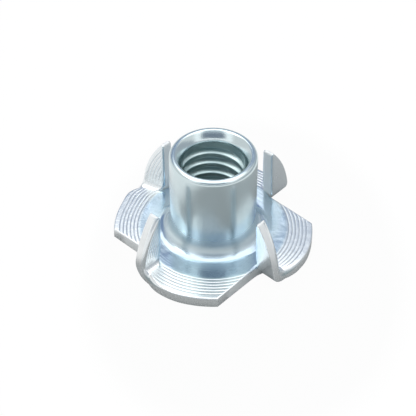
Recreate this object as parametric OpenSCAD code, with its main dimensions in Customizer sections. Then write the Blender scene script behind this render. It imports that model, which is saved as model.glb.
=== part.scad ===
// Four-prong tee nut, drawn and stamped from one piece of sheet steel.
// The flange is a round blank with four straight slits. Each slit frees a
// segment of the blank, which is folded up to stand as a prong. The threaded
// barrel is drawn from the middle of the blank.
// Origin: centre of the flange's underside. +Z runs up the barrel.

/* [Flange] */
// Outside diameter of the round flange
flange_d = 22.2; // [21.6:0.1:25]
// Thickness of the sheet
sheet_t = 1.4; // [1.1:0.05:1.6]
// Rounding that blanking leaves on the flange's upper edge
edge_round = 0.22; // [0.1:0.02:0.3]

/* [Barrel] */
// Outside diameter of the barrel
barrel_d = 9.5; // [9:0.1:10.4]
// Height from the flange's underside to the barrel's rim
overall_h = 11.8; // [9.5:0.1:14]
// Bore, which is the minor diameter of the 5/16-18 UNC thread
bore_d = 6.6; // [6.2:0.05:6.9]
// Radius on the outside of the rim
rim_round = 0.5; // [0.3:0.05:0.6]
// Diameter of the lead-in countersink at the rim
countersink_d = 8.2; // [7.6:0.1:8.4]
// Depth of the lead-in countersink
countersink_depth = 1.05; // [0.6:0.05:1.4]
// Fillet where the barrel rises from the flange
base_fillet = 1.4; // [0.8:0.05:1.6]
// Radius that drawing leaves at the bore's mouth in the underside
mouth_round = 1.15; // [0.7:0.05:1.3]

/* [Prongs] */
// Number of prongs
prong_count = 4; // [3:1:4]
// Distance from the axis to a slit, which becomes a prong's inner edge
slit_x = 7.9; // [7.7:0.05:8.3]
// Radius of a prong's outer arc
prong_r = 10.75; // [10.4:0.05:10.8]
// Rounding of a prong's tip, where its outer arc meets its inner edge
tip_round = 0.25; // [0.2:0.05:0.5]
// Radius of the shoulder in which the flange's edge draws in to a prong
shoulder_r = 3.5; // [2.5:0.5:5]
// Inside radius of a prong's fold
fold_r = 0.6; // [0.3:0.05:0.7]
// How far a prong's ringed face stands behind the radial plane
face_setback = 0.4; // [0.2:0.05:0.6]
// Height of the centre of a prong's outer arc above the underside
arc_rise = 0.6; // [0.4:0.05:1]
// Radius of the curve in which a slit ends at the fold
slit_end_r = 4.2; // [3.6:0.1:5]
// Length of slit that the curve takes up, measured from the radial plane
slit_end_run = 2.3; // [2:0.05:2.6]

/* [Rings] */
// Number of ring grooves coined in the upper face
ring_count = 6; // [3:1:6]
// Radius of the innermost ring groove
ring_first_r = 8.45; // [8.35:0.05:8.55]
// Spacing of the ring grooves
ring_pitch = 0.4; // [0.36:0.01:0.42]
// Half the width of a ring groove
ring_groove_r = 0.12; // [0.08:0.01:0.15]

/* [Hidden] */
$fn = 96;
zinc = "#b9c7cc";
flange_r = flange_d / 2;
barrel_r = barrel_d / 2;
bore_r = bore_d / 2;
sink_r = countersink_d / 2;
// Fold axis of a prong: parallel to its radius, above the flange
fold_y = fold_r - face_setback;
fold_z = fold_r + sheet_t;
// Height where a prong's slit stops curving and runs straight up
slit_straight_z = arc_rise + slit_end_run;
// Centre of a prong's tip rounding, measured from the centre of its outer arc
tip_x = slit_x + tip_round;
tip_z = sqrt(pow(prong_r - tip_round, 2) - pow(tip_x, 2));
// Shoulder beside a fold: how far round the flange its arc begins, and the
// arc's centre. It ends on the prong's arc, at the fold.
shoulder_reach = flange_r - shoulder_r;
fold_reach = norm([prong_r, fold_y]);
shoulder_turn = atan2(fold_y, prong_r)
    + acos((pow(shoulder_reach, 2) + pow(fold_reach, 2) - pow(shoulder_r, 2))
        / (2 * shoulder_reach * fold_reach));
shoulder_x = shoulder_reach * cos(shoulder_turn);
shoulder_y = shoulder_reach * sin(shoulder_turn);
shoulder_end = atan2(fold_y - shoulder_y, prong_r - shoulder_x);
// Margin by which a cutter passes the surface that it cuts
over = 1;

// Quarter-round corner to take off, or fillet to add, of radius r.
// Its corner is at the origin and its arc's centre is at [sx * r, sy * r].
module corner_2d(r, sx, sy) {
    difference() {
        translate([min(0, sx * r), min(0, sy * r)])
            square(r);
        translate([sx * r, sy * r])
            circle(r);
    }
}

// Half section of the sheet that forms the flange, from the axis outward
module sheet_2d() {
    difference() {
        square([flange_r, sheet_t]);
        translate([flange_r, sheet_t])
            corner_2d(edge_round, -1, -1);
        for (i = [0 : ring_count - 1])
            translate([ring_first_r + i * ring_pitch, sheet_t])
                circle(ring_groove_r);
    }
}

// Half section of the barrel: wall, rounded rim, and fillet at its foot
module barrel_2d() {
    difference() {
        square([barrel_r, overall_h]);
        translate([barrel_r, overall_h])
            corner_2d(rim_round, -1, -1);
    }
    translate([barrel_r, sheet_t])
        corner_2d(base_fillet, 1, 1);
}

// Half section of everything that the bore takes away
module bore_2d() {
    translate([0, -over])
        square([bore_r, overall_h + 2 * over]);
    polygon([
        [0, overall_h - countersink_depth],
        [bore_r, overall_h - countersink_depth],
        [sink_r, overall_h],
        [sink_r, overall_h + over],
        [0, overall_h + over]
    ]);
    translate([bore_r, 0])
        corner_2d(mouth_round, 1, 1);
}

// Blank before slitting, with the barrel drawn up from it
module drawn_blank() {
    rotate_extrude()
        difference() {
            union() {
                sheet_2d();
                barrel_2d();
            }
            bore_2d();
        }
}

// Flat face of the blank alone, for the part that becomes a prong
module plain_blank() {
    rotate_extrude()
        sheet_2d();
}

// Region that a slit frees. It lies at or beyond slit_x, and its inner
// corner follows the curve in which the slit ends. run is where the curve
// starts, measured along the slit.
module freed_2d(run) {
    reach = 2 * flange_r;
    translate([slit_x, run])
        square([reach, reach]);
    translate([slit_x + slit_end_r, run])
        circle(slit_end_r);
    translate([slit_x + slit_end_r, run - slit_end_r])
        square([reach, reach]);
}

// Outside of an arc of radius r, over the wedge between two directions
module beyond_arc_2d(r, from, to) {
    reach = 6 * r;
    middle = (from + to) / 2;
    difference() {
        polygon([
            [0, 0],
            reach * [cos(from), sin(from)],
            reach * [cos(middle), sin(middle)],
            reach * [cos(to), sin(to)]
        ]);
        circle(r);
    }
}

// What the flange's edge loses beside a fold, where it draws in
module shoulder_gap() {
    translate([shoulder_x, shoulder_y, -over])
        linear_extrude(sheet_t + 2 * over)
            beyond_arc_2d(shoulder_r, shoulder_end, shoulder_turn);
}

// Face of a prong, with x out from the axis and y up from the underside
module prong_face_2d() {
    difference() {
        intersection() {
            freed_2d(slit_straight_z);
            translate([0, arc_rise])
                circle(prong_r);
        }
        translate([tip_x, arc_rise + tip_z])
            beyond_arc_2d(tip_round, atan2(tip_z, tip_x), 180);
    }
}

// Gap left in the flange by one prong, up to its fold
module prong_gap() {
    reach = 2 * flange_r;
    translate([0, 0, -over])
        linear_extrude(sheet_t + 2 * over)
            intersection() {
                mirror([0, 1])
                    freed_2d(slit_end_run);
                translate([0, fold_y - reach])
                    square([reach, reach]);
            }
}

// Quarter turn of sheet between the flange and a prong
module fold() {
    translate([0, fold_y, fold_z])
        rotate([90, 0, 90])
            rotate([0, 0, 180])
                rotate_extrude(angle = 90)
                    translate([fold_r, slit_x])
                        square([sheet_t, flange_r - slit_x + over]);
}

// Upright plate of a prong: the blank turned up about the fold, with its
// rings on the face that looks counter-clockwise
module upright() {
    intersection() {
        translate([0, -face_setback - sheet_t, arc_rise])
            rotate([-90, 0, 0])
                plain_blank();
        translate([0, -face_setback - sheet_t - over, fold_z])
            cube([flange_r + over, sheet_t + 2 * over, flange_r + over]);
    }
}

// One prong with its fold, standing on the +X axis
module prong() {
    depth = sheet_t + face_setback + over + fold_y;
    intersection() {
        union() {
            fold();
            upright();
        }
        translate([0, fold_y, 0])
            rotate([90, 0, 0])
                linear_extrude(depth)
                    prong_face_2d();
        translate([0, 0, -over])
            cylinder(h = overall_h + 2 * over, r = flange_r);
    }
}

module tee_nut() {
    color(zinc)
        union() {
            difference() {
                drawn_blank();
                for (i = [0 : prong_count - 1])
                    rotate([0, 0, i * 360 / prong_count]) {
                        prong_gap();
                        shoulder_gap();
                    }
            }
            for (i = [0 : prong_count - 1])
                rotate([0, 0, i * 360 / prong_count])
                    prong();
        }
}

tee_nut();
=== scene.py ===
"""Four-prong tee nut: one stamped and drawn piece of bright zinc-plated steel.

The nut's skin is worked out on the flat blank first: rows of constant radius
carry the coined rings, and each slit, fold and sheared edge is put in by rule.
The prongs are then turned up about their folds, a quarter of the skin is
repeated round the barrel, and the thread is cut in the bore.
"""
import math
from types import SimpleNamespace

import bmesh
import bpy
import numpy as np
from bpy.props import FloatProperty, FloatVectorProperty, IntProperty, PointerProperty
from bpy.types import Operator, Panel, PropertyGroup
from mathutils import Matrix, Vector


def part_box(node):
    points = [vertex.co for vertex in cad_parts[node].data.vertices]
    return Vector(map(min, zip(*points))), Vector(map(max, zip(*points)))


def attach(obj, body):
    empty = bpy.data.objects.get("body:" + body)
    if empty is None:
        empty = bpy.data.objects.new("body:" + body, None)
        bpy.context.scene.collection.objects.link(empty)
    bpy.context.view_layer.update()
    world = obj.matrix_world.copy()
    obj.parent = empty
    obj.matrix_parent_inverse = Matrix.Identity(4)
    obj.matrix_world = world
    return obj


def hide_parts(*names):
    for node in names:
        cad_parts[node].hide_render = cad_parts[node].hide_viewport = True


bl_info = {
    "name": "Tee Nut",
    "version": (1, 0, 0),
    "blender": (4, 5, 0),
    "location": "3D View > Sidebar > Tee Nut",
    "description": "Builds a zinc-plated four-prong tee nut and a plain studio round it",
    "category": "Add Mesh",
}

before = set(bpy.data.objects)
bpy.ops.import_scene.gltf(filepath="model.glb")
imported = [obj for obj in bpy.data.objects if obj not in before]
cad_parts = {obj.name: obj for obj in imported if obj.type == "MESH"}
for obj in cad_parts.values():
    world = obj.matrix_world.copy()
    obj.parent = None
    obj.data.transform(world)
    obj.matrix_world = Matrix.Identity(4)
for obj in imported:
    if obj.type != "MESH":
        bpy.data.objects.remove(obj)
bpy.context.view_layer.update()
NODE = "tee_nut"
MM = 0.001
NODE_LOW, NODE_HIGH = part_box(NODE)
TURN = 2 * math.pi
# Points closer than this are one, and edges that turn more than this are sharp
WELD = 0.0006 * MM
SHARP_FROM = math.radians(38)


# ---- settings

def length(name, description, default_mm):
    """A size in metres, whose default is given in millimetres."""
    return FloatProperty(name=name, description=description, default=default_mm * MM,
                         min=0.0, precision=5, unit="LENGTH", subtype="DISTANCE")


def angle_of(name, description, degrees):
    """An angle, whose default is given in degrees."""
    return FloatProperty(name=name, description=description, default=math.radians(degrees),
                         subtype="ANGLE")


def level(name, description, default, **limits):
    """A plain number that never falls below zero."""
    return FloatProperty(name=name, description=description, default=default, min=0.0, **limits)


def linear(hex_colour):
    """An sRGB hex colour as linear red, green and blue."""
    channels = [int(hex_colour[i:i + 2], 16) / 255 for i in (1, 3, 5)]
    return [c / 12.92 if c <= 0.04045 else ((c + 0.055) / 1.055) ** 2.4 for c in channels]


def colour(name, description, hex_colour):
    """A colour, stored linear, whose default is given as sRGB hex."""
    return FloatVectorProperty(name=name, description=description, size=3, subtype="COLOR",
                               default=linear(hex_colour), min=0.0, max=1.0)


class FlangeSizes(PropertyGroup):
    diameter: length("Diameter", "Diameter of the circle that the petals lie on", 22.2)
    sheet: length("Sheet", "Thickness of the sheet", 1.4)
    edge_round: length("Die roll", "Rounding of the outer upper edge", 0.14)
    fold_roll: length("Fold roll", "Further rounding of that edge next to a fold", 0.6)
    fold_roll_run: length("Fold roll run", "Length of edge over which it dies away", 4.0)
    prong_roll: length("Prong roll", "Further rounding of that edge on a prong", 0.33)
    slit_round: length("Slit rounding", "Rounding of the slits' upper edges", 0.13)
    burr_round: length("Lower edge", "Rounding of the sheared lower edges", 0.06)
    crest: length("Crest", "Radius at which the upper face stands highest", 8.2)
    crest_round: length("Crest rounding", "Softness of the turn at the crest", 0.15)
    dish: angle_of("Dish", "Slope of the face, down towards the barrel", 2.5)
    fall: angle_of("Fall", "Slope of the face, down towards the edge", 2.8)


class BarrelSizes(PropertyGroup):
    diameter: length("Diameter", "Outside diameter of the barrel", 9.5)
    height: length("Height", "Height of the rim above the underside",
                   (NODE_HIGH[2] - NODE_LOW[2]) / MM)
    base_fillet: length("Foot fillet", "Fillet where the barrel leaves the flange", 1.4)
    rim_round: length("Rim rounding", "Radius on the outside of the rim", 0.5)
    lip_round: length("Lip rounding", "Radius between the rim and its countersink", 0.09)
    sink_diameter: length("Countersink", "Diameter of the lead-in at the rim", 8.2)
    sink_depth: length("Countersink depth", "Depth of the lead-in", 1.05)
    sink_swell: length("Countersink swell", "How far the lead-in swells in from a cone", 0.08)
    mouth_round: length("Mouth rounding", "Drawn radius of the bore in the underside", 1.15)


class ProngSizes(PropertyGroup):
    count: IntProperty(name="Prongs", description="Prongs round the flange", default=4,
                       min=4, max=4)
    slit: length("Slit", "Distance of each slit from the axis", 7.9)
    slit_end_radius: length("Slit end", "Radius of the curve in which a slit ends", 4.2)
    slit_end_run: length("Slit end run", "Length of slit that the curve takes up", 2.3)
    setback: length("Setback", "How far a prong's ringed face stands behind the radius", 0.4)
    fold_radius: length("Fold radius", "Inside radius of a prong's fold", 0.6)
    arc_rise: length("Arc rise", "Height of the centre of a prong's outer arc", 0.6)
    outer_radius: length("Outer arc", "Radius of a prong's outer arc", 10.75)
    tip_round: length("Tip rounding", "Rounding of a prong's tip", 0.25)
    shoulder: length("Shoulder", "Radius in which the edge draws in to a prong", 3.5)
    draw_in: length("Draw-in", "Radius from which the blank gives way to the shoulder", 9.0)


class RingSizes(PropertyGroup):
    count: IntProperty(name="Rings", description="Ring grooves coined in the face", default=6,
                       min=1)
    first: length("First ring", "Radius of the innermost groove", 8.45)
    pitch: length("Pitch", "Spacing of the grooves", 0.4)
    half_width: length("Half width", "Half the width of a groove", 0.085)
    depth: length("Depth", "Depth of a groove", 0.022)
    fade: length("Fade", "Distance from a slit over which the grooves fade out", 0.3)
    fold_depth: level("Depth in a fold", "Share of the depth kept in a fold", 0.25, max=1.0)
    fold_fade: length("Fold fade", "Distance from a fold over which the grooves fade", 1.0)


class ThreadSizes(PropertyGroup):
    pitch: length("Pitch", "Pitch of the right-hand thread, 18 to the inch", 25.4 / 18)
    minor: length("Minor diameter", "Diameter over the thread's crests", 6.6)
    major: length("Major diameter", "Diameter at the thread's roots", 7.94)
    root_flat: length("Root flat", "Width of the flat at a root", 0.15)
    start: level("Start", "Turn at which the thread starts", 0.12)
    plain: length("Plain bore", "Unthreaded length under the countersink", 0.35)
    run_out: length("Run-out", "Height over which the thread fades out", 0.5)
    easing: length("Easing", "Rounding of the thread's crests and roots", 0.14)


class PlateFinish(PropertyGroup):
    bright: colour("Bright zinc", "Zinc plate where it is brightest", "#D1DFE2")
    # Painted blue: a painted reflection of the blue shade behind the nut, put in the hollow round
    # the barrel, and darkened as the painted shade in the grooves
    tint: colour("Painted blue", "Blue tint of the clear passivate", "#BFD2E2")
    coined: colour("Coined rings", "Plate on the coined part of the flange", "#E9EEF0")
    thread: colour("Thread", "Plate on the thread, greener where it is thin", "#C9DDDF")
    edge: colour("Sheared edge", "Plate over the sheared edges", "#F4F6F6")


class StudioSetup(PropertyGroup):
    turn: angle_of("Azimuth", "Direction that the camera looks from", 43)
    tilt: angle_of("Elevation", "Height that the camera looks from", 43.04)
    distance: length("Distance", "Distance from the camera to the flange's underside", 135)
    floor: colour("Floor", "White paper on the floor", "#FAFAFA")
    shade: colour("Shade", "Paper in front of the nut, as the plate mirrors it", "#A2A4A4")
    half_shade: colour("Half shade", "Paper round the nut, as the plate mirrors it", "#ACAEAE")
    camera_white: level("White to the camera", "How far the camera sees the paper as plain white",
                        0.965, max=1.0)
    cloth: colour("Cloth", "White cloth of the light tent", "#FFFFFF")
    back: colour("Back wall", "Shaded wall of the tent behind the nut", "#899BB8")
    foot: colour("Foot", "Foot of the tent's walls, out of the light", "#B6BBC2")
    opening: colour("Opening", "Dim room seen through the tent's opening", "#858E9C")
    flap: colour("Flap", "Front flap of the tent, over the opening", "#D2DAE2")
    roof_level: level("Roof level", "Brightness of the roof", 1.75)
    left_level: level("Left level", "Brightness of the left wall", 0.8)
    foot_level: level("Foot level", "Brightness of the left wall's foot", 1.1)
    box_level: level("Softbox level", "Brightness of the softbox on the left", 3.0)
    sill_level: level("Front level", "Brightness of the wall round the opening", 1.2)
    right_level: level("Right level", "Brightness of the right wall", 0.85)


class TeeNutSettings(PropertyGroup):
    flange: PointerProperty(type=FlangeSizes)
    barrel: PointerProperty(type=BarrelSizes)
    prong: PointerProperty(type=ProngSizes)
    ring: PointerProperty(type=RingSizes)
    thread: PointerProperty(type=ThreadSizes)
    finish: PointerProperty(type=PlateFinish)
    studio: PointerProperty(type=StudioSetup)


# ---- the blank

def turned(x, y, angle):
    """A place in plan, in a frame turned about the axis by an angle."""
    return (x * math.cos(angle) + y * math.sin(angle),
            y * math.cos(angle) - x * math.sin(angle))


class Blank:
    """The flat blank: its outline, its slits and the height of its upper face."""

    # Points along a slit, one in how many of them a gap is measured to, and the widest
    # space between two rows
    SLIT_POINTS = 1500
    MEASURE_EVERY = 3
    WIDEST_GAP = 0.13 * MM

    def __init__(self, nut):
        prong = nut.prong
        self.nut = nut
        self.radius = nut.flange.diameter / 2
        self.fold_start = prong.fold_radius - prong.setback
        self.fold_top = prong.fold_radius + nut.flange.sheet
        self.stretch = self.fold_top - prong.arc_rise + self.fold_start
        # The slit of the prong on +X, from the edge of the blank in to the fold
        self.slit_y = np.linspace(-self.radius, self.fold_start, self.SLIT_POINTS)
        self.slit_x = self.slit_at(self.slit_y)
        away = np.hypot(self.slit_x, self.slit_y)
        nearest = int(away.argmin())
        self.neck = away[nearest]
        self.slit_tip = away[-1]
        self.outer_run = (away[:nearest + 1][::-1], self.slit_y[:nearest + 1][::-1])
        self.inner_run = (away[nearest:], self.slit_y[nearest:])
        # The rounding of a prong's tip
        self.tip = np.array([prong.slit + prong.tip_round, 0])
        self.tip[1] = -math.sqrt((prong.outer_radius - prong.tip_round) ** 2 - self.tip[0] ** 2)
        self.tip_start = math.hypot(prong.slit, self.tip[1])
        # The shoulder, an arc that draws the edge in from the full circle to the fold
        reach = self.radius - prong.shoulder
        end = math.hypot(prong.outer_radius, self.fold_start)
        turn = math.atan2(self.fold_start, prong.outer_radius) + math.acos(
            (reach ** 2 + end ** 2 - prong.shoulder ** 2) / (2 * reach * end))
        self.shoulder = np.array([reach * math.cos(turn), reach * math.sin(turn)])
        self.shoulder_top = self.radius * math.sin(turn)

    def slit_at(self, y):
        """Distance of the slit from the plane of the axis, y along it."""
        prong = self.nut.prong
        past = np.clip(y + prong.slit_end_run, 0, None)
        bulge = prong.slit_end_radius - np.sqrt(prong.slit_end_radius ** 2 - past ** 2)
        return prong.slit + bulge

    def slit_out(self, r):
        """How far along the slit radius r crosses it, towards the edge."""
        return np.interp(r, *self.outer_run)

    def slit_in(self, r):
        """How far along the slit radius r crosses it, towards the fold."""
        return np.interp(r, *self.inner_run)

    def edge_radius(self, y):
        """Radius of the blank's edge, y along from a fold's own radius."""
        prong = self.nut.prong
        held = np.clip(y, self.fold_start, self.shoulder_top)
        arc_x = self.shoulder[0] + np.sqrt(prong.shoulder ** 2 - (held - self.shoulder[1]) ** 2)
        drawn = np.hypot(arc_x, held)
        return np.where(y > self.shoulder_top, self.radius, drawn)

    def drawn_in(self, r, y):
        """Radius that row r keeps where the shoulder draws the edge in."""
        start = self.nut.prong.draw_in
        share = np.clip((r - start) / (self.radius - start), 0, 1)
        return r - (self.radius - self.edge_radius(y)) * share

    def prong_end(self, r):
        """How far along a prong row r, already drawn in, ends."""
        if r <= self.tip_start:
            return self.slit_out(r)
        reach = math.hypot(*self.tip)
        cosine = (reach ** 2 + r ** 2 - self.nut.prong.tip_round ** 2) / (2 * reach * r)
        turn = math.atan2(self.tip[1], self.tip[0]) - math.acos(min(1, cosine))
        return r * math.sin(turn)

    def from_slit(self, x, y):
        """Distance of each point from the nearest slit."""
        turn = TURN / self.nut.prong.count
        best = np.full(np.shape(x), self.radius)
        slit = np.stack([self.slit_x, self.slit_y], axis=-1)[::self.MEASURE_EVERY]
        slit = np.concatenate([slit, [[self.slit_x[-1], self.slit_y[-1]]]])
        step = np.diff(slit, axis=0)
        for angle in (0, turn, -turn):
            px, py = turned(x, y, angle)
            off_x = px[..., None] - slit[:-1, 0]
            off_y = py[..., None] - slit[:-1, 1]
            along = off_x * step[:, 0] + off_y * step[:, 1]
            along = np.clip(along / (step ** 2).sum(axis=1), 0, 1)
            gap = np.hypot(off_x - along * step[:, 0], off_y - along * step[:, 1])
            best = np.minimum(best, gap.min(axis=-1))
        return best

    def from_tip(self, x, y):
        """Distance of each point from the rounding of a prong's tip."""
        off_x, off_y = x - self.tip[0], y - self.tip[1]
        in_corner = (off_x * self.tip[1] - off_y * self.tip[0] > 0) & (off_y < 0)
        gap = self.nut.prong.tip_round - np.hypot(off_x, off_y)
        return np.where(in_corner, gap, self.radius)

    def ring_share(self, r, slit_gap):
        """Depth of the coined grooves on row r, as a share of their full depth."""
        ring = self.nut.ring
        number = np.clip(np.round((r - ring.first) / ring.pitch), 0, ring.count - 1)
        off = np.abs(r - ring.first - number * ring.pitch) / ring.half_width
        groove = np.where(off < 1, 0.5 + 0.5 * np.cos(math.pi * np.minimum(off, 1)), 0)
        return groove * np.clip(slit_gap / ring.fade, 0, 1)

    def drop(self, r):
        """How far the upper face lies below its full height at radius r.

        Drawing dishes it towards the barrel, and blanking lets its edge fall.
        """
        flange = self.nut.flange
        off = r - flange.crest
        soft = np.hypot(off, flange.crest_round)
        return (math.tan(flange.dish) * (soft - off) + math.tan(flange.fall) * (soft + off)) / 2

    def fold_share(self, y):
        """Depth of the grooves near a fold, where bending has drawn them out."""
        ring = self.nut.ring
        off = np.maximum(y - self.fold_start, self.fold_start - self.stretch - y)
        share = np.clip(off / ring.fold_fade, 0, 1)
        return ring.fold_depth + (1 - ring.fold_depth) * share ** 2 * (3 - 2 * share)

    def heights(self, r, x, y):
        """Heights of the upper face and the underside, and the groove's share."""
        flange = self.nut.flange
        slit_gap = np.minimum(self.from_slit(x, y), self.from_tip(x, y))
        edge_gap = self.radius - r
        past_fold = np.clip((y - self.fold_start) / flange.fold_roll_run, 0, 1)
        into_prong = np.clip((self.fold_start - y) / self.stretch, 0, 1)
        roll = flange.edge_round + flange.fold_roll * (1 - past_fold) ** 2 * (1 - into_prong) ** 2
        roll = roll + flange.prong_roll * into_prong
        groove = self.ring_share(r, slit_gap) * self.fold_share(y)
        rounding = np.maximum(quarter_round(edge_gap, roll),
                              quarter_round(slit_gap, flange.slit_round))
        lift = np.maximum(quarter_round(edge_gap, flange.burr_round),
                          quarter_round(slit_gap, flange.burr_round))
        top = flange.sheet - self.drop(r) - self.nut.ring.depth * groove - rounding
        return top, lift, groove

    def lay_flat(self, x, y, h):
        """Place of a point of the blank that stays flat."""
        return np.stack([x, y, h], axis=-1)

    def fold_up(self, x, y, h):
        """Place of a point of the blank after its prong is folded up."""
        past = self.fold_start - y
        turn = np.clip(past / self.stretch, 0, 1) * math.pi / 2
        arm = self.fold_top - h
        rise = np.clip(past - self.stretch, 0, None)
        return np.stack([x, self.fold_start - arm * np.sin(turn),
                         self.fold_top - arm * np.cos(turn) + rise], axis=-1)

    def rows(self):
        """Radii of the rows of points, close together where the face turns."""
        ring = self.nut.ring
        edge = self.nut.flange.edge_round
        deep = edge + self.nut.flange.fold_roll
        marks = [self.neck, self.slit_tip]
        for i in range(ring.count):
            middle = ring.first + i * ring.pitch
            marks += [middle + part * ring.half_width
                      for part in (-1, -0.72, -0.45, -0.2, 0, 0.2, 0.45, 0.72, 1)]
        marks += [self.radius - part * edge for part in (1, 0.75, 0.5, 0.3, 0.15, 0.05, 0)]
        marks += [self.radius - part * deep for part in (0.9, 0.7, 0.55)]
        marks = sorted(marks)
        rows = [marks[0]]
        for mark in marks[1:]:
            parts = max(1, math.ceil((mark - rows[-1]) / self.WIDEST_GAP))
            start = rows[-1]
            rows += [start + (mark - start) * k / parts for k in range(1, parts + 1)]
        return np.array(rows)


def quarter_round(gap, radius):
    """Drop of a rounded edge at a distance gap in from it."""
    inside = np.clip(radius - gap, 0, radius)
    return radius - np.sqrt(np.maximum(radius ** 2 - inside ** 2, 0))


def spread(length_m, middle):
    """Distances along a run, close together by both of its ends."""
    near = np.array([0, 0.02, 0.05, 0.1, 0.17]) * MM
    reach = 0.26 * MM
    squeeze = np.minimum(1, length_m / (4 * reach))
    near = near * squeeze
    return np.concatenate([near, np.linspace(reach * squeeze, length_m - reach * squeeze, middle),
                           length_m - near[::-1]])


# ---- the skin

class Skin:
    """Points and faces, gathered patch by patch and welded at the end."""

    def __init__(self):
        self.points, self.faces, self.sheared, self.valley = [], [], [], []
        self.count = 0

    def add_grid(self, xyz, sheared=False, valley=None):
        """Add a grid of points, rows by columns, with a quad in each cell."""
        rows, columns = xyz.shape[:2]
        corner = np.arange(rows * columns).reshape(rows, columns) + self.count
        quads = np.stack([corner[:-1, :-1], corner[:-1, 1:], corner[1:, 1:], corner[1:, :-1]],
                         axis=-1).reshape(-1, 4)
        self.points.append(xyz.reshape(-1, 3))
        self.faces.append(quads)
        self.sheared.append(np.full(len(quads), sheared))
        flat = np.zeros(rows * columns) if valley is None else valley.reshape(-1)
        self.valley.append(flat)
        self.count += rows * columns

    def mesh(self, name):
        """Turn what was gathered into a mesh with its marks as attributes."""
        mesh = bpy.data.meshes.new(name)
        points = np.concatenate(self.points)
        mesh.from_pydata(points.tolist(), [], np.concatenate(self.faces).tolist())
        sheared = mesh.attributes.new("sheared", "BOOLEAN", "FACE")
        sheared.data.foreach_set("value", np.concatenate(self.sheared))
        valley = mesh.attributes.new("valley", "FLOAT", "POINT")
        valley.data.foreach_set("value", np.concatenate(self.valley))
        return mesh


def sheet_patch(skin, blank, place, radii, y):
    """Both faces of a stretch of sheet, and its sheared walls, from rows of y.

    The walls are its far side, its near side as far as the slit reaches, and
    the blank's edge. It returns the x of each point.
    """
    levels = 5
    slit_rows = int(np.sum(radii <= blank.slit_tip + 1e-9))
    r = radii[:, None] + 0 * y
    x = np.sqrt(np.maximum(blank.drawn_in(r, y) ** 2 - y ** 2, 0))
    top, bottom, groove = blank.heights(r, x, y)
    skin.add_grid(place(x, y, top), valley=groove)
    skin.add_grid(place(x, y, bottom))
    share = np.linspace(0, 1, levels)[:, None]
    across = np.ones((levels, 1))
    for side in ((slice(None), -1), (slice(0, slit_rows), 0), (-1, slice(None))):
        height = top[side] * (1 - share) + bottom[side] * share
        skin.add_grid(place(x[side] * across, y[side] * across, height), sheared=True)
    return x


def petal(skin, blank, radii):
    """One flat petal, from its own prong's fold to the next prong's slit."""
    columns = 34
    quarter = TURN / blank.nut.prong.count
    angles = []
    for r in radii:
        start_y = blank.slit_in(r) if r < blank.slit_tip else blank.fold_start
        start = math.asin(start_y / r)
        end = quarter + math.asin(blank.slit_out(r) / r)
        angles.append(start + spread(r * (end - start), columns) / r)
    angle = np.array(angles)
    y = radii[:, None] * np.sin(angle)
    x = sheet_patch(skin, blank, blank.lay_flat, radii, y)
    return np.arctan2(y[0], x[0])


def prong(skin, blank, radii):
    """One prong: the segment that a slit frees, folded up."""
    in_fold, upright = 12, 18
    tip_end = blank.fold_start - blank.prong_end(blank.slit_tip)
    along = []
    for r in radii:
        drawn = float(blank.drawn_in(r, blank.fold_start))
        start = max(0.0, blank.fold_start - blank.slit_in(r)) if r < blank.slit_tip else 0.0
        end = blank.fold_start - blank.prong_end(drawn)
        knee = blank.stretch
        if r < blank.slit_tip:
            knee = start + (end - start) * blank.stretch / tip_end
        rest = spread(end - knee, upright)
        past = np.concatenate([np.linspace(start, knee, in_fold, endpoint=False), knee + rest])
        along.append(blank.fold_start - past)
    sheet_patch(skin, blank, blank.fold_up, radii, np.array(along))


def arc(centre, radius, start, end, count):
    """Points of an arc in the half section, angles in degrees."""
    angle = np.radians(np.linspace(start, end, count))
    return np.stack([centre[0] + radius * np.cos(angle),
                     centre[1] + radius * np.sin(angle)], axis=-1)


def sink_radius(barrel, minor, z):
    """Radius of the lead-in countersink at height z."""
    share = (barrel.height - z) / barrel.sink_depth
    cone = barrel.sink_diameter / 2 - share * (barrel.sink_diameter - minor) / 2
    return cone - barrel.sink_swell * 4 * share * (1 - share)


def bore_top(nut):
    """Height at which the rim's own rounding gives way to the bore."""
    share_of_lip = 1.2
    return nut.barrel.height - share_of_lip * nut.barrel.lip_round


def barrel_section(nut, blank):
    """Half section from the flange's neck up the barrel and over its rim."""
    barrel, flange = nut.barrel, nut.flange
    radius = barrel.diameter / 2
    foot = radius + barrel.base_fillet
    base = flange.sheet
    top = barrel.height
    steps, lip_steps = 10, 5
    run_in = np.linspace(blank.neck, foot, steps)
    fillet_top = base + barrel.base_fillet
    fillet = arc((foot, fillet_top), barrel.base_fillet, 270, 180, 2 * steps)[1:]
    fillet[:, 1] -= blank.drop(foot) * (fillet_top - fillet[:, 1]) / barrel.base_fillet
    wall = np.linspace(fillet_top, top - barrel.rim_round, steps)[1:]
    rim = arc((radius - barrel.rim_round, top - barrel.rim_round), barrel.rim_round, 0, 90, steps)
    # The lip bends from the flat of the rim into the countersink
    lip = barrel.sink_diameter / 2
    start = np.array([[lip + barrel.lip_round, top]])
    corner = np.array([lip, top])
    end = bore_top(nut)
    stop = np.array([sink_radius(barrel, nut.thread.minor, end), end])
    bend = np.linspace(0, 1, lip_steps)[1:, None]
    bend = (1 - bend) ** 2 * start + 2 * bend * (1 - bend) * corner + bend ** 2 * stop
    return np.concatenate([
        np.stack([run_in, np.full(steps, base)], axis=-1), fillet,
        np.stack([np.full(len(wall), radius), wall], axis=-1), rim[1:], start, bend])


def revolve_quarter(nut, blank, section, neck_angles, even_angles):
    """A quarter turn of a section, whose columns even out inwards from the neck."""
    foot = nut.barrel.diameter / 2 + nut.barrel.base_fillet
    share = np.clip((section[:, 0] - foot) / (blank.neck - foot), 0, 1)[:, None]
    angle = even_angles * (1 - share) + neck_angles * share
    r, z = section[:, :1], section[:, 1:]
    return np.stack([r * np.cos(angle), r * np.sin(angle), z + 0 * angle], axis=-1)


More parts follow.
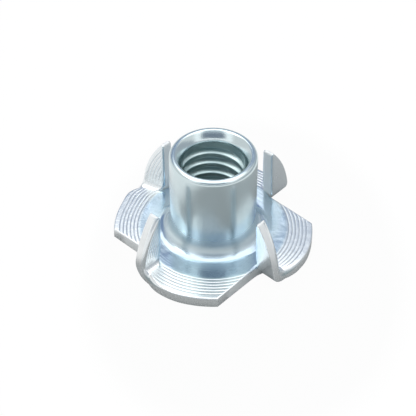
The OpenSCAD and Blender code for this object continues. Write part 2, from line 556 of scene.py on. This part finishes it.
def quarter_skin(nut, blank):
    """A quarter of the nut's skin, all but the bore."""
    skin = Skin()
    radii = blank.rows()
    neck_angles = petal(skin, blank, radii)
    prong(skin, blank, radii)
    even_angles = np.linspace(neck_angles[0], neck_angles[-1], len(neck_angles))
    upper = revolve_quarter(nut, blank, barrel_section(nut, blank), neck_angles, even_angles)
    # Upper edges of the slits also round off just inside the neck
    away = np.hypot(upper[..., 0], upper[..., 1])
    flat = upper[:, 0, 2] == nut.flange.sheet
    upper[flat, :, 2] = blank.heights(away, upper[..., 0], upper[..., 1])[0][flat]
    skin.add_grid(upper)
    mouth = nut.thread.minor / 2 + nut.barrel.mouth_round
    steps = 8
    run_in = np.linspace(blank.neck, mouth, steps)
    lower = revolve_quarter(nut, blank, np.stack([run_in, 0 * run_in], axis=-1),
                            neck_angles, even_angles)
    lower[..., 2] = blank.heights(0 * lower[..., 0], lower[..., 0], lower[..., 1])[1]
    skin.add_grid(lower)
    return skin, even_angles


# How each prong has settled after folding, in millimetres, from the one on +X round:
# taller, wider, outer edge swung towards its petal, tip leaning towards its petal, and
# tip leaning outward
SETTLED = ((0.55, -0.32, 0.0, -0.25, 0.0), (0.1, 0.05, 0.0, 0.25, 0.0),
           (0.3, 0.2, 0.9, 0.0, 0.25), (0.35, -0.3, 0.0, 0.3, 0.0))


def settle(mesh, nut, blank):
    """Let each prong stand a little differently, as folding leaves them."""
    points = np.empty(len(mesh.vertices) * 3)
    mesh.vertices.foreach_get("co", points)
    points = points.reshape(-1, 3)
    prong, sheet = nut.prong, nut.flange.sheet
    prongs_from, full_lean, fold_reach, clearance = 7 * MM, 6 * MM, 4.5 * MM, 0.01 * MM
    limit = NODE_HIGH[0] - clearance
    for number, moves in enumerate(SETTLED):
        taller, wider, swung, leaning, out = (move * MM for move in moves)
        turn = TURN / prong.count * number
        along, across = turned(points[:, 0], points[:, 1], turn)
        height = np.clip((points[:, 2] - sheet) / full_lean, 0, 1) * (along > prongs_from)
        reach = np.clip((along - prong.slit) / (prong.outer_radius - prong.slit), 0, 1)
        near = np.clip(1 - (across - blank.fold_start) / fold_reach, 0, 1)
        near = reach * near ** 2 * (3 - 2 * near)
        moved = along + wider * near + out * height
        along = np.minimum(moved, np.maximum(along, limit))
        across = across + swung * near + leaning * height
        points[:, 0], points[:, 1] = turned(along, across, -turn)
        points[:, 2] += taller * height
    mesh.vertices.foreach_set("co", points.reshape(-1))
    mesh.update()


# ---- node trees

class Value:
    """What one node works out. Sums on it add math nodes to its tree."""

    def __init__(self, tree, socket):
        self.tree = tree
        self.socket = socket

    def math(self, operation, *others):
        """The result of one math node, with this value as its first input."""
        return sum_up(self.tree, operation, self, *others)

    def __add__(self, other):
        return self.math("ADD", other)

    def __sub__(self, other):
        return self.math("SUBTRACT", other)

    def __mul__(self, other):
        return self.math("MULTIPLY", other)

    def __truediv__(self, other):
        return self.math("DIVIDE", other)

    def ramp(self, limits, levels=(0.0, 1.0)):
        """The value stretched from its limits to new levels, and held at their ends."""
        return result(self.tree, "ShaderNodeMapRange", {
            "Value": self, "From Min": limits[0], "From Max": limits[1],
            "To Min": levels[0], "To Max": levels[1]})


def feed(tree, node, inputs):
    """Link or fill inputs of a node, given by their names or places."""
    for key, value in inputs.items():
        if isinstance(value, Value):
            tree.links.new(value.socket, node.inputs[key])
        else:
            node.inputs[key].default_value = value


def result(tree, kind, inputs=None, output=0, **settings):
    """Add a node, and give back what one of its outputs works out."""
    node = tree.nodes.new(kind)
    for name, value in settings.items():
        setattr(node, name, value)
    feed(tree, node, inputs or {})
    return Value(tree, node.outputs[output])


def sum_up(tree, operation, *values):
    """The result of one math node."""
    return result(tree, "ShaderNodeMath", dict(enumerate(values)), operation=operation)


def vector(tree, operation, *values, output="Vector"):
    """The result of one vector math node."""
    return result(tree, "ShaderNodeVectorMath", dict(enumerate(values)), output,
                  operation=operation)


def combine(tree, **parts):
    """A vector from its X, Y and Z."""
    return result(tree, "ShaderNodeCombineXYZ", parts)


def split(tree, place):
    """The X, Y and Z of a vector."""
    return [result(tree, "ShaderNodeSeparateXYZ", {0: place}, axis) for axis in "XYZ"]


def add_object(name, data):
    """A new object in the scene."""
    thing = bpy.data.objects.new(name, data)
    bpy.context.scene.collection.objects.link(thing)
    return thing


def new_tree(name, values):
    """A geometry tree, with an input for the mesh and one for each named value.

    Its inputs come back with it, and the node that takes the mesh it makes.
    """
    tree = bpy.data.node_groups.new(name, "GeometryNodeTree")
    for side in ("INPUT", "OUTPUT"):
        tree.interface.new_socket("mesh", in_out=side, socket_type="NodeSocketGeometry")
    for label, value in values.items():
        kind = {int: "Int", float: "Float"}.get(type(value), "Material")
        tree.interface.new_socket(label, in_out="INPUT", socket_type="NodeSocket" + kind)
    given = tree.nodes.new("NodeGroupInput").outputs
    given = SimpleNamespace(**{socket.name: Value(tree, socket) for socket in given[:-1]})
    return tree, given, tree.nodes.new("NodeGroupOutput")


def run_tree(mesh, make_tree, values):
    """Run a geometry tree on a mesh and return the mesh that it makes."""
    tree = make_tree(values)
    thing = add_object(mesh.name, mesh)
    modifier = thing.modifiers.new(tree.name, "NODES")
    modifier.node_group = tree
    for item in tree.interface.items_tree:
        if item.in_out == "INPUT" and item.name in values:
            modifier[item.identifier] = values[item.name]
    ready = thing.evaluated_get(bpy.context.evaluated_depsgraph_get())
    made = bpy.data.meshes.new_from_object(ready)
    bpy.data.objects.remove(thing)
    return made


def repeat_tree(values):
    """Repeat a quarter of the skin round the barrel and weld the copies."""
    tree, given, end = new_tree("Repeat round the barrel", values)
    line = result(tree, "GeometryNodeMeshLine", {"Count": given.count, "Offset": (0, 0, 0)})
    step = sum_up(tree, "DIVIDE", TURN, given.count)
    spin = combine(tree, Z=result(tree, "GeometryNodeInputIndex") * step)
    copies = result(tree, "GeometryNodeInstanceOnPoints", {
        "Points": line, "Instance": given.mesh, "Rotation": spin})
    solid = result(tree, "GeometryNodeRealizeInstances", {0: copies})
    welded = result(tree, "GeometryNodeMergeByDistance", {
        "Geometry": solid, "Distance": given.weld})
    faces = result(tree, "GeometryNodeSetMaterial", {
        "Geometry": welded, "Material": given.face_finish})
    sheared = result(tree, "GeometryNodeInputNamedAttribute", {"Name": "sheared"},
                     data_type="BOOLEAN")
    edges = result(tree, "GeometryNodeSetMaterial", {
        "Geometry": faces, "Selection": sheared, "Material": given.edge_finish})
    feed(tree, end, {0: edges})
    return tree


def thread_tree(values):
    """Open a plain tube out to the bore: thread, countersink and drawn mouth."""
    tree, given, end = new_tree("Cut the thread", values)
    easing, pitch, mouth_round = given.easing, given.pitch, given.mouth_round
    minor = given.minor * 0.5
    flank_slope = math.tan(math.radians(60))
    x, y, z = split(tree, result(tree, "GeometryNodeInputPosition"))
    # How far a point lies along the axis from the middle of the nearest root
    phase = z / pitch - y.math("ARCTAN2", x) / TURN + given.start
    off = (phase.math("FRACT") - 0.5).math("ABSOLUTE") * pitch
    flank = off - given.root_flat * 0.5
    fall = flank.math("SMOOTH_MAX", 0.0, easing) * flank_slope
    # The thread fades out below the countersink
    below = given.height - z
    kept = (below - given.sink_depth - given.plain) / given.run_out
    kept = kept.math("MAXIMUM", 0.0).math("MINIMUM", 1.0)
    cut = (given.major * 0.5 - minor) * kept - fall
    bore = cut.math("SMOOTH_MAX", 0.0, easing) + minor
    # Countersink: a cone that swells a little towards the axis
    share = (below / given.sink_depth).math("MINIMUM", 1.0)
    swell = share * sum_up(tree, "SUBTRACT", 1.0, share) * 4.0
    sink = given.sink_diameter * 0.5 - below * given.sink_slope - swell * given.sink_swell
    # Mouth: the round that drawing leaves in the underside
    over = (mouth_round - z).math("MAXIMUM", 0.0)
    depth = (mouth_round * mouth_round - over * over).math("MAXIMUM", 0.0).math("SQRT")
    mouth = minor + mouth_round - depth
    wall = bore.math("SMOOTH_MAX", sink, easing).math("MAXIMUM", mouth)
    flat = combine(tree, X=x, Y=y)
    size = vector(tree, "LENGTH", flat, output="Value")
    opened = result(tree, "ShaderNodeVectorMath", {0: flat, "Scale": wall / size},
                    operation="SCALE")
    placed = result(tree, "GeometryNodeSetPosition", {
        "Geometry": given.mesh, "Position": vector(tree, "ADD", opened, combine(tree, Z=z))})
    realised = result(tree, "GeometryNodeRealizeInstances", {0: placed})
    finished = result(tree, "GeometryNodeSetMaterial", {
        "Geometry": realised, "Material": given.finish})
    feed(tree, end, {0: finished})
    return tree


# ---- finishes

# Where the plate changes. A ramp runs from none of a zone to all of it, either away
# from the axis or up from the underside, in millimetres.
ZONES = {
    # hollow: where the plate is painted bluer, as a painted reflection of the blue shade behind
    # the nut
    "hollow": (("away", 4.9, 5.6), ("away", 8.5, 8.0)),
    "coined rings": (("away", 8.1, 8.5), ("up", 0.85, 1.1)),
    "flange": (("away", 4.85, 5.1),),
    "barrel": (("away", 4.95, 4.8),),
    "barrel wall": (("away", 4.95, 4.8), ("away", 4.4, 4.6), ("up", 11.5, 11.2)),
    "foot": (("up", 3.6, 2.6), ("away", 5.6, 5.1)),
    "bore": (("away", 4.05, 3.95), ("up", 10.9, 10.6)),
}
# How much rougher the plate is there than elsewhere
ROUGHER = {"bore": 0.18, "coined rings": 0.1, "barrel wall": 0.09, "foot": 0.2}


def new_finish(name, metallic=1.0):
    """A material with its shader, ready for its nodes."""
    material = bpy.data.materials.new(name)
    material.use_nodes = True
    tree = material.node_tree
    shader = tree.nodes["Principled BSDF"]
    shader.inputs["Metallic"].default_value = metallic
    return material, tree, shader


def lit(colour_in, brightness):
    """A colour at a level of brightness."""
    return tuple(brightness * c for c in colour_in)


def blend(share, first, second):
    """Two colours mixed by a share, from all of the first to all of the second."""
    first, second = (c if isinstance(c, Value) else (*c, 1) for c in (first, second))
    return result(share.tree, "ShaderNodeMix", {"Factor": share, 6: first, 7: second}, 2,
                  data_type="RGBA")


def ramps_of(ways, ramps, unit=1.0):
    """A value for each ramp: its way, where it starts and ends, and any levels there."""
    return [ways[way].ramp((start * unit, end * unit), levels or (0.0, 1.0))
            for way, start, end, *levels in ramps]


def mask(ways, ramps, unit=1.0):
    """Where all of the ramps overlap."""
    first, *others = ramps_of(ways, ramps, unit)
    return math.prod(others, start=first)


def object_place(tree):
    """Where a point lies in the object's own frame."""
    return result(tree, "ShaderNodeTexCoord", output="Object")


def object_noise(tree, size_mm, detail=2.0, stretch=(1, 1, 1)):
    """Noise whose grains measure size_mm, in the object's own frame."""
    scaled = result(tree, "ShaderNodeMapping", {"Vector": object_place(tree), "Scale": stretch})
    return result(tree, "ShaderNodeTexNoise", {
        "Vector": scaled, "Scale": 1 / (size_mm * MM), "Detail": detail}, "Fac")


def radius_of(tree):
    """Distance from the barrel's axis, in the object's own frame."""
    flat = vector(tree, "MULTIPLY", object_place(tree), (1, 1, 0))
    return vector(tree, "LENGTH", flat, output="Value")


def relief(height, strength, depth_mm):
    """Fine relief that only the shading shows."""
    return result(height.tree, "ShaderNodeBump", {
        "Height": height, "Strength": strength, "Distance": depth_mm * MM})


def bright_zinc(finish):
    """Bright zinc electroplate with a clear blue passivate, on pressed steel.

    It mirrors the room softly. In the hollow round the barrel the plate is
    painted bluer, unevenly: a painted reflection of the blue shade behind the
    nut. Drawing has left fine rings on the flange, and fine lines up the barrel,
    whose wall and foot are a little duller. The coined rings are paler, with
    painted shade in each groove as a thin dark line, and the plate in the bore
    is greener and duller.
    """
    material, tree, shader = new_finish("bright_zinc_plate")
    x, y, z = split(tree, object_place(tree))
    away = radius_of(tree)
    zones = {name: mask({"away": away, "up": z}, ramps, MM) for name, ramps in ZONES.items()}
    # The hollow round the barrel is painted bluer, unevenly: a painted reflection of the blue
    # shade behind the nut
    cloud = object_noise(tree, 4.0).ramp((0.35, 0.65), (0.5, 1.0))
    shown = blend(zones["hollow"] * cloud, finish.bright, finish.tint)
    shown = blend(zones["coined rings"], shown, finish.coined)
    # Painted shade: a thin dark line is painted into each groove, stronger in some patches than
    # in others, in a darkened copy of the painted blue
    valley = result(tree, "ShaderNodeAttribute", output="Fac", attribute_name="valley")
    groove_shade = object_noise(tree, 3.0).ramp((0.35, 0.6), (0.25, 0.7))
    shown = blend(valley.ramp((0.5, 1.0)) * groove_shade, shown, lit(finish.tint, 0.35))
    shown = blend(zones["bore"], shown, finish.thread)
    rough = object_noise(tree, 1.2).ramp((0.3, 0.7), (0.12, 0.18))
    for name, amount in ROUGHER.items():
        rough = rough + zones[name] * amount
    # Fine rings on the flange, and broader unevenness
    ring_width = 0.16 * MM
    around = y.math("ARCTAN2", x) * 3.0
    rings = result(tree, "ShaderNodeTexNoise", {
        "Vector": combine(tree, X=away / ring_width, Y=around), "Scale": 1.0, "Detail": 1.0},
        "Fac")
    worked = (rings + object_noise(tree, 1.0, 1.0) * 2.5) * zones["flange"]
    # Speckle on the flange, more of it towards -X, and lines up the barrel
    speckle = object_noise(tree, 0.16, 1.0) * x.ramp((-5 * MM, -8 * MM), (0.4, 2.0))
    lines = object_noise(tree, 0.08, 1.0, (1, 1, 0.02)) * zones["barrel"]
    height = worked + speckle * zones["flange"] + lines
    feed(tree, shader, {"Base Color": shown, "Roughness": rough,
                        "Normal": relief(height, 0.3, 0.018)})
    return material


def sheared_zinc(finish):
    """Zinc electroplate over a sheared steel edge: bright, soft, with drag lines.

    The slits were lanced, and their walls are duller than the blanked edge.
    """
    material, tree, shader = new_finish("sheared_edge_plate")
    drag = object_noise(tree, 0.15, 2.0, (1, 1, 0.15))
    lanced = radius_of(tree).ramp((10.4 * MM, 9.8 * MM), (0.0, 0.45))
    feed(tree, shader, {"Base Color": (*finish.edge, 1),
                        "Roughness": drag.ramp((0.3, 0.7), (0.22, 0.3)) + lanced,
                        "Normal": relief(drag, 0.2, 0.008)})
    return material


# ---- the nut

def bore_grid(nut, even_angles):
    """A plain tube for the bore, whose rows climb with the thread.

    Rows that would pass the rim or the underside stop level with it.
    """
    radius = nut.thread.minor / 2
    top = bore_top(nut)
    mouth = nut.barrel.mouth_round
    pitch = nut.thread.pitch
    quarter = TURN / nut.prong.count
    angle = np.concatenate([even_angles[:-1] + quarter * k for k in range(nut.prong.count)])
    angle = np.append(angle, angle[0] + TURN)
    flank = np.array([0, 0.09, 0.14, 0.17, 0.2, 0.26, 0.32, 0.38, 0.42, 0.45, 0.5])
    stages = np.concatenate([flank, 1 - flank[-2:0:-1]])
    turns = np.arange(-2, math.ceil(top / pitch) + 2)
    row_turn = (turns[:, None] + stages).reshape(-1, 1)
    climb = pitch * (row_turn + angle / TURN - nut.thread.start)
    climb = np.clip(climb, 0, top)
    # In the mouth the rows are closer together towards the underside
    eased = mouth * (1 - np.cos(np.minimum(climb / mouth, 1) * math.pi / 2))
    z = np.where(climb < mouth, eased, climb)
    across = angle + 0 * z
    skin = Skin()
    skin.add_grid(np.stack([radius * np.cos(across), radius * np.sin(across), z], axis=-1))
    return skin.mesh("bore")


def weld(meshes, name, distance):
    """Join meshes into one closed object, with its faces turned outward."""
    joined = bmesh.new()
    materials = []
    for mesh in meshes:
        before = len(joined.faces)
        joined.from_mesh(mesh)
        joined.faces.ensure_lookup_table()
        for face in joined.faces[before:]:
            material = mesh.materials[face.material_index]
            if material not in materials:
                materials.append(material)
            face.material_index = materials.index(material)
    bmesh.ops.remove_doubles(joined, verts=joined.verts, dist=distance)
    bmesh.ops.dissolve_degenerate(joined, edges=joined.edges, dist=distance / 10)
    bmesh.ops.recalc_face_normals(joined, faces=joined.faces)
    open_edges = sum(1 for edge in joined.edges if not edge.is_manifold)
    whole = bpy.data.meshes.new(name)
    joined.to_mesh(whole)
    joined.free()
    for material in materials:
        whole.materials.append(material)
    if open_edges:
        raise RuntimeError(f"{name} has {open_edges} open edges")
    whole.polygons.foreach_set("use_smooth", np.ones(len(whole.polygons), dtype=bool))
    whole.set_sharp_from_angle(angle=SHARP_FROM)
    return add_object(name, whole)


class TEENUT_OT_press_nut(Operator):
    """Press the nut out of its blank, fold its prongs and cut its thread"""
    bl_idname = "teenut.press_nut"
    bl_label = "Press the nut"

    def execute(self, context):
        nut = context.scene.tee_nut
        blank = Blank(nut)
        skin, even_angles = quarter_skin(nut, blank)
        plate, edge = bright_zinc(nut.finish), sheared_zinc(nut.finish)
        shell = run_tree(skin.mesh("quarter"), repeat_tree, {
            "count": nut.prong.count, "weld": WELD, "face_finish": plate, "edge_finish": edge})
        settle(shell, nut, blank)
        barrel, thread = nut.barrel, nut.thread
        slope = (barrel.sink_diameter - thread.minor) / 2 / barrel.sink_depth
        values = {name: getattr(thread, name) for name in thread.__annotations__}
        values.update({name: getattr(barrel, name) for name in (
            "height", "mouth_round", "sink_diameter", "sink_depth", "sink_swell")})
        values.update(sink_slope=slope, finish=plate)
        bore = run_tree(bore_grid(nut, even_angles), thread_tree, values)
        piece = weld([shell, bore], "tee_nut_plated", WELD)
        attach(piece, "root")
        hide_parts(NODE)
        return {"FINISHED"}


# ---- the studio

def place_camera(studio):
    """The camera, looking down on the nut with a long lens."""
    aim = Vector((-math.sin(studio.turn) * math.cos(studio.tilt),
                  math.cos(studio.turn) * math.cos(studio.tilt), -math.sin(studio.tilt)))
    right = Vector((math.cos(studio.turn), math.sin(studio.turn), 0))
    up = right.cross(aim)
    # The picture's width, its scale, and the place in it of the frame's origin
    pixels = 416
    pixels_per_mm = 8.882
    origin_at = Vector((213.08, 233.85))
    off_right = (origin_at.x - pixels / 2) / pixels_per_mm * MM
    off_up = (pixels / 2 - origin_at.y) / pixels_per_mm * MM
    data = bpy.data.cameras.new("camera")
    data.sensor_width = 36
    data.lens = data.sensor_width * pixels_per_mm * (studio.distance / MM) / pixels
    data.clip_start = 0.005
    camera = add_object("camera", data)
    facing = Matrix((right, up, -aim)).transposed().to_4x4()
    place = -right * off_right - up * off_up - aim * studio.distance
    camera.matrix_world = Matrix.Translation(place) @ facing
    bpy.context.scene.camera = camera


def outside(place, stretch, centre_mm, start_mm, end_mm):
    """None within an oval on the floor, all outside it."""
    scaled = vector(place.tree, "MULTIPLY", place, stretch)
    centre = tuple(part * MM for part in centre_mm)
    away = vector(place.tree, "DISTANCE", scaled, centre, output="Value")
    return away.ramp((start_mm * MM, end_mm * MM))


def lay_floor(studio):
    """A plain white floor under the nut, level with its underside.

    The camera sees it as nearly plain white, with a trace of the nut's shadow.
    The plate mirrors it darker close to the nut, which shades it, most of all
    in front, and as plain white further out.
    """
    half = 1.5
    z = NODE_LOW[2]
    mesh = bpy.data.meshes.new("floor")
    mesh.from_pydata([(-half, -half, z), (half, -half, z), (half, half, z), (-half, half, z)],
                     [], [(0, 1, 2, 3)])
    material, tree, paper = new_finish("white_paper", metallic=0.0)
    place = result(tree, "ShaderNodeMapping", {
        "Vector": object_place(tree), "Rotation": (0, 0, -studio.turn)})
    open_floor = outside(place, (1, 0.7, 1), (4, -3, 0), 15.5, 18.3)
    front = outside(place, (1.5, 1, 1), (-4, -8, 0), 13, 19)
    shown = blend(open_floor, studio.half_shade, studio.floor)
    feed(tree, paper, {"Base Color": blend(front, studio.shade, shown), "Roughness": 1.0,
                       "Specular IOR Level": 0.0})
    white = result(tree, "ShaderNodeEmission", {"Color": (1, 1, 1, 1), "Strength": 1.0})
    to_camera, to_gloss, through = (result(tree, "ShaderNodeLightPath", output=f"Is {ray} Ray")
                                    for ray in ("Camera", "Glossy", "Transmission"))
    glossy = to_gloss.math("MAXIMUM", through) * open_floor
    share = (to_camera * studio.camera_white).math("MAXIMUM", glossy)
    seen = result(tree, "ShaderNodeMixShader", {
        0: share, 1: Value(tree, paper.outputs[0]), 2: white})
    feed(tree, tree.nodes["Material Output"], {"Surface": seen})
    mesh.materials.append(material)
    floor = add_object("floor", mesh)


# Where the parts of the light tent stand. A ramp runs from none of a part to all of it,
# along how far a direction points up, to the front or to the right, each from -1 to 1.
# "foot" and "eaves" are the way up with the rises added. Two further numbers are the
# levels at a ramp's ends.
TENT = {
    "right wall": (("right", -0.55, 0.1),),
    "shade": (("up", 0.3, 0.42),),
    "back wall": (("front", -0.5, -0.8), ("right", 0.05, 0.35, 1.0, 0.75)),
    "lit foot": (("right", -0.6, -0.9),),
    # The foot stands taller on the right and in front
    "foot rise": (("right", 0.2, 0.8, 0.0, -0.25), ("front", 0.4, 0.6, 0.0, -0.12)),
    "above foot": (("foot", 0.14, 0.22),),
    "front wall": (("front", 0.35, 0.55), ("up", 0.26, 0.34)),
    # The eaves lie lower on the left, but higher on the far left and in the back corner
    "eaves rise": (("right", -0.15, 0.15, 0.03, -0.03), ("right", -0.9, -0.6, -0.08, 0.0)),
    "corner": (("right", 0.2, 0.4, 0.0, 0.07), ("front", -0.3, -0.5)),
    "roof": (("eaves", 0.66, 0.74),),
    "softbox": (("right", -0.6, -0.8), ("up", 0.71, 0.75), ("up", 0.9, 0.86),
                ("front", -0.3, -0.1), ("front", 0.4, 0.2)),
    "opening": (("front", 0.7, 0.85), ("up", 0.42, 0.47), ("up", 0.96, 0.9)),
    "flap": (("up", 0.7, 0.75),),
}


def hang_tent(studio):
    """A white light tent, which lights the nut and is mirrored by its plate.

    Its roof is lit, and so are the foot of the left wall, the softbox above
    that wall, and the front wall. Behind the nut the wall falls into blue
    shade below the roof. The opening round the camera is dim, under a pale
    flap.
    """
    world = bpy.data.worlds.new("light_tent")
    world.use_nodes = True
    bpy.context.scene.world = world
    tree = world.node_tree
    place = result(tree, "ShaderNodeTexCoord", output="Generated")
    flat = vector(tree, "NORMALIZE", vector(tree, "MULTIPLY", place, (1, 1, 0)))
    front = (math.sin(studio.turn), -math.cos(studio.turn), 0)
    right = (math.cos(studio.turn), math.sin(studio.turn), 0)
    ways = {name: vector(tree, "DOT_PRODUCT", ray, along, output="Value")
            for name, ray, along in (("up", place, (0, 0, 1)), ("front", flat, front),
                                     ("right", flat, right))}
    ways["foot"] = sum(ramps_of(ways, TENT["foot rise"]), start=ways["up"])
    eaves = sum(ramps_of(ways, TENT["eaves rise"]), start=ways["up"])
    ways["eaves"] = eaves - mask(ways, TENT["corner"])

    def add(part, tent, shown, brightness=1.0):
        """The tent with one more part, in what is shown at some brightness."""
        shown = shown if isinstance(shown, Value) else lit(shown, brightness)
        return blend(mask(ways, TENT[part]), tent, shown)

    cloth = studio.cloth
    walls = add("right wall", lit(cloth, studio.left_level), cloth, studio.right_level)
    walls = add("back wall", walls, add("shade", walls, studio.back))
    foot = add("lit foot", studio.foot, cloth, studio.foot_level)
    walls = add("above foot", foot, walls)
    walls = add("front wall", walls, cloth, studio.sill_level)
    tent = add("roof", walls, cloth, studio.roof_level)
    tent = add("softbox", tent, cloth, studio.box_level)
    tent = add("opening", tent, add("flap", studio.opening, studio.flap))
    feed(tree, tree.nodes["Background"], {"Color": tent})


class TEENUT_OT_set_studio(Operator):
    """Lay the floor and set the lights and the camera"""
    bl_idname = "teenut.set_studio"
    bl_label = "Set the studio"

    def execute(self, context):
        studio = context.scene.tee_nut.studio
        lay_floor(studio)
        hang_tent(studio)
        place_camera(studio)
        context.scene.view_settings.view_transform = "Standard"
        return {"FINISHED"}


class TEENUT_PT_panel(Panel):
    """The nut's buttons, sizes and colours"""
    bl_label = "Tee Nut"
    bl_idname = "TEENUT_PT_panel"
    bl_space_type = "VIEW_3D"
    bl_region_type = "UI"
    bl_category = "Tee Nut"

    def draw(self, context):
        for operator in OPERATORS:
            self.layout.operator(operator.bl_idname)
        nut = context.scene.tee_nut
        for label in TeeNutSettings.__annotations__:
            box = self.layout.box()
            box.label(text=label.capitalize())
            group = getattr(nut, label)
            for name in group.__annotations__:
                box.prop(group, name)


OPERATORS = (TEENUT_OT_press_nut, TEENUT_OT_set_studio)
CLASSES = (FlangeSizes, BarrelSizes, ProngSizes, RingSizes, ThreadSizes, PlateFinish,
           StudioSetup, TeeNutSettings, *OPERATORS, TEENUT_PT_panel)


def register():
    for cls in CLASSES:
        bpy.utils.register_class(cls)
    bpy.types.Scene.tee_nut = PointerProperty(type=TeeNutSettings)


def unregister():
    del bpy.types.Scene.tee_nut
    for cls in reversed(CLASSES):
        bpy.utils.unregister_class(cls)


def main():
    register()
    bpy.ops.teenut.press_nut()
    bpy.ops.teenut.set_studio()


if __name__ == "__main__":
    main()
